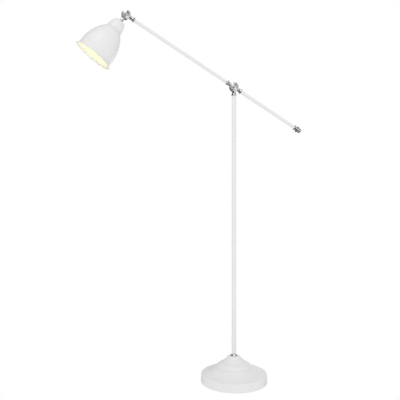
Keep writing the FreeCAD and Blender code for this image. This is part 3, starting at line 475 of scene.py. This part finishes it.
def base_cover():
    """Spun steel cover: a rolled foot, a soft shoulder, a roof and two pressed steps under the collar."""
    wall, corner_radius = 1.5, 1.2
    foot = ring_points((138.5, 2.4), 1.4, -170, 0, 8)
    shoulder = (138.4, 31)
    land = (133.5, 36)
    land_inside = (114, 40.6)
    lower_ledge, lower_corner, lower_riser = (80.5, 61.2), (75.5, 62.6), (74.5, 66.2)
    upper_ledge, upper_corner, upper_riser = (50.5, 82.2), (46.5, 83.2), (45.7, 86.2)
    collar_foot, collar_top = (35, 94.2), (30, 100)
    crown = (20, 108)
    hole_edge = (6.6, 108)
    shoulder_bend, roof_bend, lower_bend, upper_bend, collar_bend, crown_bend = 5, -190, 55, 40, -9, 13
    outside = [foot[-1], shoulder]
    outside += bow(shoulder, land, shoulder_bend, 8)
    outside += [land_inside]
    outside += bow(land_inside, lower_ledge, roof_bend)
    outside += [lower_corner, lower_riser]
    outside += bow(lower_riser, upper_ledge, lower_bend)
    outside += [upper_corner, upper_riser]
    outside += bow(upper_riser, collar_foot, upper_bend)
    outside += bow(collar_foot, collar_top, collar_bend, 8)
    outside += bow(collar_top, crown, crown_bend, 10)
    outside += [hole_edge]
    outside = softened(outside, corner_radius, closed=False)
    skin = foot[:-1] + outside + inset(outside, wall)
    cover = turned("spun_base_cover", skin, STAND, LARGE_AROUND)
    gland_low, gland_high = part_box("cable_gland")
    gland_end = facing((0, gland_high.y, (gland_low.z + gland_high.z) / 2), (0, 1, 0))
    hole_radius, drill_inner_end, drill_outer_end = 6.0, -30, 5
    plug = [(0, drill_inner_end), (hole_radius, drill_inner_end)]
    plug += [(hole_radius, drill_outer_end), (0, drill_outer_end)]
    combined(cover, turned("drill", plug, gland_end, SMALL_AROUND), "DIFFERENCE")
    finish_piece(cover, "stand", "white_paint", "base_cover")


def shade_bell():
    """Spun bell: a flat flange under the cap, a round shoulder, and a rolled bead at the flared mouth."""
    wall, corner_radius = 0.8, 1.5
    flange = (19.6, 82.4)
    top, waist = (34.2, 82.4), (65.9, 138)
    hip, skirt = (74.2, 190), (74.2, 206)
    bead_centre, bead = (79.7, 217.2), 1.3
    roll = ring_points(bead_centre, bead, -60, 200, 14)
    upper_bend, lower_bend, lip_bend = 155, 151, -11.4
    outside = [flange, top]
    outside += bow(top, waist, upper_bend, 28)
    outside += bow(waist, hip, lower_bend, 20)
    outside += [skirt]
    outside += bow(skirt, roll[0], lip_bend, 10)
    outside = softened(outside, corner_radius, closed=False)
    skin = outside + roll[1:] + inset(outside, wall)[1:]
    bell = turned("spun_shade_bell", skin, SHADE, LARGE_AROUND)
    finish_piece(bell, "shade", "white_paint", "shade_bell")
    bulb_light(bell)


def bulb_light(holder):
    """The bulb's light: a warm ball the size of its globe, which moves with the holder.

    It stands nearer the mouth than the globe does, so that the glass blocks less of it.
    """
    distance, radius = 160 * MM, 30.5 * MM
    data = bpy.data.lights.new("bulb_light", "POINT")
    data.shadow_soft_size = radius
    data.use_soft_falloff = False
    data.energy = 0.08
    data.color = (1.0, 0.93, 0.3)
    light = bpy.data.objects.new("bulb_light", data)
    light.location = HEAD_PIVOT + TO_MOUTH * distance
    light.parent = holder
    light.visible_camera = False
    bpy.context.scene.collection.objects.link(light)


def shade_cap():
    """Spun cup over the lampholder, with a soft shoulder and a curled rim that sits on the bell."""
    wall, corner_radius = 0.8, 1
    hole_edge = (5.1, 36)
    shoulder, side = (17, 36), (25.3, 45)
    curl = ring_points((32.8, 81.2), 0.8, -10, 190, 10)
    shoulder_bend, side_bend = 10, 95
    outside = [hole_edge, shoulder]
    outside += bow(shoulder, side, shoulder_bend, 10)
    outside += bow(side, curl[0], side_bend, 20)
    outside = softened(outside, corner_radius, closed=False)
    skin = outside + curl[1:] + inset(outside, wall)[1:]
    cap = turned("spun_shade_cap", skin, SHADE, CAP_AROUND)
    finish_piece(cap, "shade", "white_paint", "shade_cap")


def shade_ring():
    """Clamping ring with finger ribs round its skirt."""
    ribs, rib_depth, rib_fullness, points_per_rib = 30, 0.45, 0.5, 10
    bore, flange_radius, skirt_radius = 19.6, 25.6, 22
    seat, flange_end, skirt_start, skirt_end = 83.3, 85.2, 86, 90
    outline = [(bore, seat), (flange_radius, seat), (flange_radius, flange_end)]
    outline += [(skirt_radius, skirt_start), (skirt_radius, skirt_end), (bore, skirt_end)]

    def ribbed(bearing, radius, height):
        depth = rib_depth * smooth_step(radius, 20.5, 21.8) * smooth_step(height, 85.4, 86.4)
        return depth * abs(math.cos(ribs * bearing / 2)) ** rib_fullness - depth

    ring = turned("ribbed_shade_ring", softened(outline, 0.5), SHADE, ribs * points_per_rib, ribbed)
    finish_piece(ring, "shade", "holder_plastic", "shade_ring")


def ear_sections():
    """Sections through a thumb screw's two ears, from tip to tip: each ear swells out to a rounded tip."""
    sections, around, squareness = 84, 40, 2 / 3
    reach, tip_start, tip_length = 18.2, 13.0, 5.2
    root_height, tip_height = 2.4, 5.0
    root_thickness, ear_thickness, tip_fullness = 2.9, 1.2, 0.4
    root_middle, rise = -14.6, 2.4
    rings = []
    for k in range(sections + 1):
        across = -reach * math.cos(math.pi * k / sections)
        far = abs(across)
        closing = math.sqrt(max(1 - (max(far - tip_start, 0) / tip_length) ** 2, 0))
        middle = root_middle - rise * smooth_step(far, 3, tip_start)
        if closing < ON_AXIS:
            rings.append([(across, middle, 0)])
            continue
        tall = (root_height + (tip_height - root_height) * smooth_step(far, 3.5, tip_start)) * closing
        swell = (root_thickness - ear_thickness) * (1 - smooth_step(far, 2, 8))
        thick = (ear_thickness + swell) * closing**tip_fullness
        ring = []
        for step in range(around):
            bearing = 2 * math.pi * step / around
            cosine, sine = math.cos(bearing), math.sin(bearing)
            upright = math.copysign(abs(cosine) ** squareness, cosine) * tall
            sideways = math.copysign(abs(sine) ** squareness, sine) * thick
            ring.append((across, middle + upright, sideways))
        rings.append(ring)
    return rings


def butterfly_screw(name, pivot, turn, body, node):
    """Cast thumb screw: a shank, a flange and a round hub, with two ears."""
    front = Matrix.Translation(pivot) @ Matrix.Rotation(math.radians(turn), 4, "Y")
    shank = [(0, -7), (1.9, -7), (2.5, -6.4), (2.5, 9.95)]
    flange = [(5.2, 9.95), (5.2, 11.6)]
    hub = [(3.9, 12), (3.9, 17.2), (0, 17.8)]
    outline = softened(shank + flange + hub, 0.6)
    screw = turned(name, outline, front @ Matrix.Rotation(math.pi / 2, 4, "X"), SMALL_AROUND)
    combined(screw, skinned("ears", ear_sections(), front), "UNION")
    finish_piece(screw, body, "chrome", node)


def knuckle_faces(name, pivot, front_body, back_body):
    """Rounded rings turned into the recesses of the two discs of a knuckle."""
    inner, outer, floor_depth, crown = 8.1, 15.7, 7.72, 6.7
    outline = [(inner, floor_depth)] + bow((inner, floor_depth), (outer, floor_depth), -crown, 20)
    for side, body in ((-1, front_body), (1, back_body)):
        at = facing(pivot, (0, side, 0))
        finish_piece(turned(f"{name}_{body}", outline, at), body, "chrome")


def cable_gland():
    """Moulded rubber gland: a round flange against the cover and a ribbed, tapered nose."""
    low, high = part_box("cable_gland")
    inner_end, outer_end = low.y / MM, high.y / MM
    inner_face, outer_face = 136.6, 140.3
    flange, flange_bevel, hole, bore = 8.5, 0.6, 5.95, 3.4
    flange_end, nose_start = outer_face + 2.4, outer_face + 2.9
    outline = [(bore, inner_end), (flange - flange_bevel, inner_end), (flange, inner_face)]
    outline += [(hole, inner_face), (hole, outer_face), (flange, outer_face), (flange, flange_end)]
    ribs, nose_root, nose_tip, groove_depth = 3, 6.6, 5.4, 0.9
    groove_end, rib_start = 0.35, 0.5
    pitch = (outer_end - nose_start) / ribs
    for rib in range(ribs):
        start = nose_start + rib * pitch
        radius = nose_root + (nose_tip - nose_root) * rib / (ribs - 1)
        outline += [(radius - groove_depth, start), (radius - groove_depth, start + groove_end * pitch)]
        outline += [(radius, start + rib_start * pitch), (radius, start + pitch)]
    outline += [(bore, outer_end)]
    at = facing((0, 0, (low.z + high.z) / 2), (0, 1, 0))
    gland = turned("ribbed_cable_gland", softened(outline, 0.4), at, SMALL_AROUND)
    finish_piece(gland, "stand", "gland_rubber", "cable_gland")


def recess_blade(at, turn):
    """One bar of a screw's cross recess, as a solid to cut away."""
    length, half_width, depth = 5 * MM, 0.55 * MM, 1.1 * MM
    bar = bmesh.new()
    bmesh.ops.create_cube(bar, size=1)
    bar.transform(Matrix.Diagonal((length, 2 * half_width, 2 * depth, 1)))
    bar.transform(at @ Matrix.Rotation(turn, 4, "Z"))
    mesh = bpy.data.meshes.new("blade")
    bar.to_mesh(mesh)
    bar.free()
    return in_scene("blade", mesh)


def plate_screws():
    """Cross-head screws under the base, one in each hole of the felt."""
    low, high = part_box("base_plate_screws")
    head_radius, head_thickness, shank_radius = 4.6, 1.8, 2.5
    head_top, end = low.z / MM, high.z / MM
    seat = head_top + head_thickness
    circle = (high.x / MM - head_radius) * math.sqrt(2)
    outline = [(0, head_top), (2.6, head_top), (4.1, head_top + 0.5), (head_radius, head_top + 1.1)]
    outline += [(head_radius, seat), (shank_radius, seat), (shank_radius, end - 0.6), (1.9, end), (0, end)]
    uneven_turn = 1.7
    screws = None
    for bearing in [math.radians(45 + 90 * k) for k in range(4)]:
        spot = Matrix.Translation(Vector((math.cos(bearing), math.sin(bearing), 0)) * circle * MM)
        screw = turned("screw", softened(outline, 0.4), spot, SMALL_AROUND)
        face = spot @ Matrix.Translation((0, 0, head_top * MM))
        for turn in (0, math.pi / 2):
            combined(screw, recess_blade(face, bearing * uneven_turn + turn), "DIFFERENCE")
        if screws is None:
            screws = screw
            screws.name = "cross_head_screws"
        else:
            combined(screws, screw, "UNION")
    finish_piece(screws, "stand", "plated_steel", "base_plate_screws")


# ------------------------------------------------------------------ studio

CAMERA_TURN = math.radians(9.6)
CAMERA_BACK = 2.107
CAMERA_SIDE = 0.1436
CAMERA_HEIGHT = 0.7658
CAMERA_LENS_MM = 44.82
FLOOR_HALF = 60.0
FLAG_COUNT = 5
FLAG_PHASE = math.radians(300)
FLAG_LEAN = -0.9
FLAG_LEVEL = 0.03
GLOSS_LEVEL = 1.05
STRIP_EDGE = (-0.4, -0.1)
STRIP_TOP = (0.9, 0.75)
RING_LOW_EDGE = (0.4, 0.44)
RING_HIGH_EDGE = (0.66, 0.62)
BACK_NEAR_EDGE = (-0.1, 0.15)
BACK_FAR_EDGE = (0.66, 0.5)
KEY_OFFSET = Vector((-1.4, -5.2, 6.2))
KEY_SIZE = 3.6
KEY_POWER = 125


def camera():
    """A level camera on the shade's side of the lamp, looking between the shade and the pole."""
    ahead = Vector((math.sin(CAMERA_TURN), math.cos(CAMERA_TURN), 0))
    right = Vector((math.cos(CAMERA_TURN), -math.sin(CAMERA_TURN), 0))
    data = bpy.data.cameras.new("camera")
    data.lens = CAMERA_LENS_MM
    eye = bpy.data.objects.new("camera", data)
    eye.location = -ahead * CAMERA_BACK - right * CAMERA_SIDE + Vector((0, 0, CAMERA_HEIGHT))
    eye.rotation_euler = (math.pi / 2, 0, -CAMERA_TURN)
    bpy.context.scene.collection.objects.link(eye)
    bpy.context.scene.camera = eye


def soft_light(name, place, target, size, power):
    """A square softbox at a place, facing a target."""
    data = bpy.data.lights.new(name, "AREA")
    data.shape = "SQUARE"
    data.size = size
    data.energy = power
    lamp = bpy.data.objects.new(name, data)
    lamp.location = place
    lamp.rotation_mode = "QUATERNION"
    lamp.rotation_quaternion = (Vector(target) - Vector(place)).to_track_quat("-Z", "Y")
    lamp.visible_camera = False
    bpy.context.scene.collection.objects.link(lamp)


def white_studio():
    """A soft white surround, even to the eye.

    Only reflections see its black flags: upright strips, a ring above and below, and one behind the lamp.
    """
    world = bpy.data.worlds.new("white_studio")
    bpy.context.scene.world = world
    world.use_nodes = True
    nodes = world.node_tree.nodes
    links = world.node_tree.links
    background = nodes["Background"]

    def step(operation, *values):
        """One arithmetic step on node outputs and numbers."""
        maths = nodes.new("ShaderNodeMath")
        maths.operation = operation
        for socket, value in zip(maths.inputs, values):
            if isinstance(value, bpy.types.NodeSocket):
                links.new(value, socket)
            else:
                socket.default_value = value
        return maths.outputs["Value"]

    def fade(value, off, full):
        """Zero where the value is at off, one where it is at full, and smooth between them."""
        spread = nodes.new("ShaderNodeMapRange")
        spread.interpolation_type = "SMOOTHSTEP"
        links.new(value, spread.inputs["Value"])
        spread.inputs["From Min"].default_value = off
        spread.inputs["From Max"].default_value = full
        return spread.outputs["Result"]

    direction = nodes.new("ShaderNodeSeparateXYZ")
    links.new(nodes.new("ShaderNodeTexCoord").outputs["Generated"], direction.inputs["Vector"])
    height = direction.outputs["Z"]
    bearing = step("ARCTAN2", direction.outputs["Y"], direction.outputs["X"])
    ripple = step("SINE", step("MULTIPLY_ADD", bearing, float(FLAG_COUNT), FLAG_PHASE))
    wave = step("MULTIPLY_ADD", direction.outputs["X"], FLAG_LEAN, ripple)
    strips = step("MULTIPLY", fade(wave, *STRIP_EDGE), fade(height, *STRIP_TOP))
    slant = step("ABSOLUTE", height)
    ring = step("MULTIPLY", fade(slant, *RING_LOW_EDGE), fade(slant, *RING_HIGH_EDGE))
    far = direction.outputs["Y"]
    behind = step("MULTIPLY", fade(far, *BACK_NEAR_EDGE), fade(far, *BACK_FAR_EDGE))
    flags = step("MAXIMUM", step("MAXIMUM", strips, ring), behind)
    reflected = step("MULTIPLY_ADD", flags, FLAG_LEVEL - GLOSS_LEVEL, GLOSS_LEVEL)
    glossy = nodes.new("ShaderNodeLightPath").outputs["Is Glossy Ray"]
    level = step("ADD", step("SUBTRACT", 1.0, glossy), step("MULTIPLY", reflected, glossy))
    links.new(level, background.inputs["Strength"])
    background.inputs["Color"].default_value = (1, 1, 1, 1)


def floor():
    """A wide plain floor under the lamp."""
    mesh = bpy.data.meshes.new("floor")
    corners = [(x * FLOOR_HALF, y * FLOOR_HALF, 0) for x, y in ((-1, -1), (1, -1), (1, 1), (-1, 1))]
    mesh.from_pydata(corners, [], [(0, 1, 2, 3)])
    mesh.materials.append(floor_white())
    ground = bpy.data.objects.new("floor", mesh)
    ground.visible_glossy = False
    bpy.context.scene.collection.objects.link(ground)


def studio():
    """Camera, floor, surround and a softbox, with plain colour management so that white stays white."""
    camera()
    floor()
    white_studio()
    middle = (cad_low + cad_high) / 2
    soft_light("key", middle + KEY_OFFSET, middle, KEY_SIZE, KEY_POWER)
    bpy.context.scene.view_settings.view_transform = "Standard"


dress_cad_nodes()
base_cover()
cable_gland()
plate_screws()
shade_bell()
shade_cap()
shade_ring()
knuckle_faces("turned_face", CENTRE_PIVOT, "pole_knuckle", "arm")
knuckle_faces("turned_face", HEAD_PIVOT, "shade", "head_link")
butterfly_screw("arm_butterfly_screw", CENTRE_PIVOT, ARM_SCREW_TURN, "arm_wing_screw", "arm_wing_screw")
butterfly_screw("head_butterfly_screw", HEAD_PIVOT, HEAD_SCREW_TURN, "head_wing_screw", "head_wing_screw")
studio()
